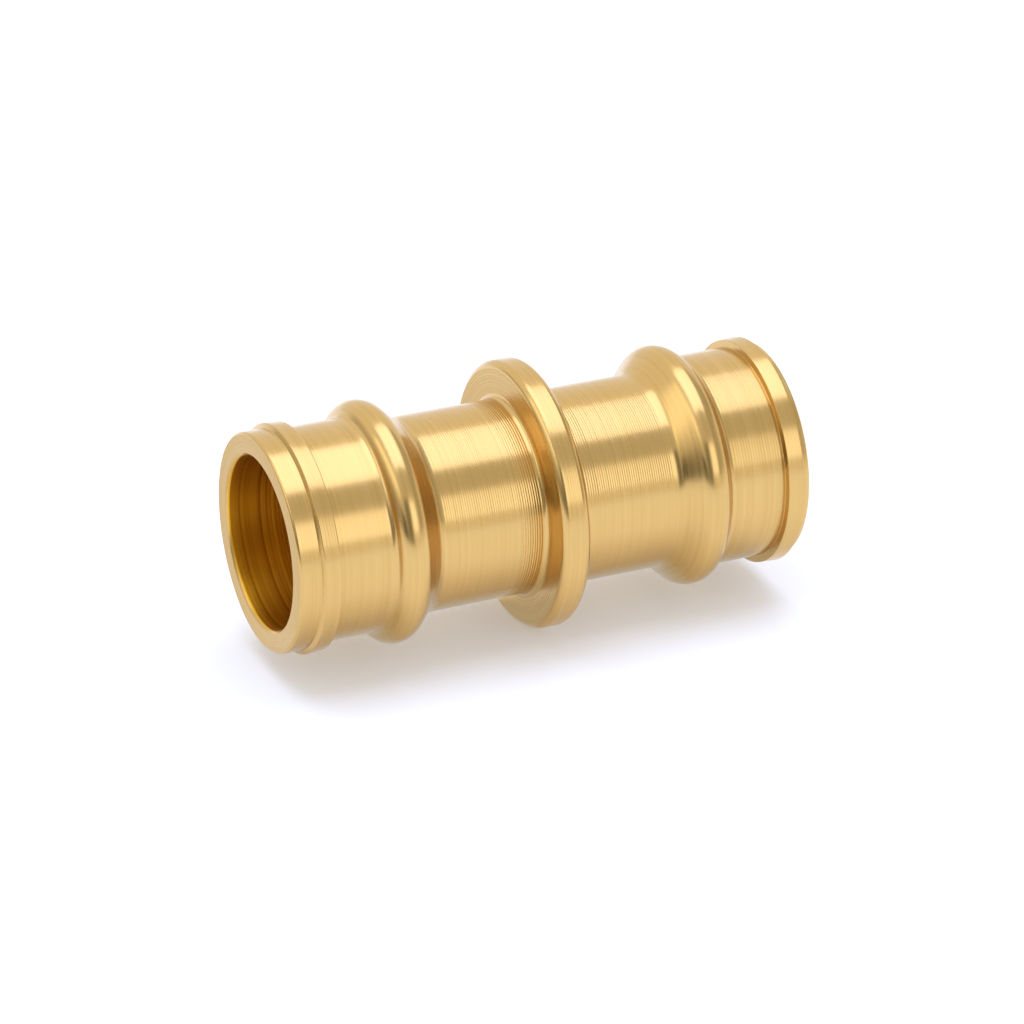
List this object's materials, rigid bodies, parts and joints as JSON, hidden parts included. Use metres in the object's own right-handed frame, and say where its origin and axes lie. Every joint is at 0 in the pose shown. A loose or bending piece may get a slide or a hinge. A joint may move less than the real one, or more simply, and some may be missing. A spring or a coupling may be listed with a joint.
{
  "type": "pex crimp fitting",
  "caption": "Straight turned brass coupling for crimped PEX tube: a ribbed spigot on each side of a round collar, bored through.",
  "frame": {"origin": "on the bore's axis, midway between the two faces of the collar", "axes": "+Z along the bore's axis, up, towards the end with the short nose; X and Y are any two square directions across the bore"},
  "size_m": [0.0138, 0.0138, 0.0279],
  "materials": {
    "brass": "turned satin, bare"
  },
  "bodies": {
    "root": {"coupling": "brass"}
  },
  "joints": []
}
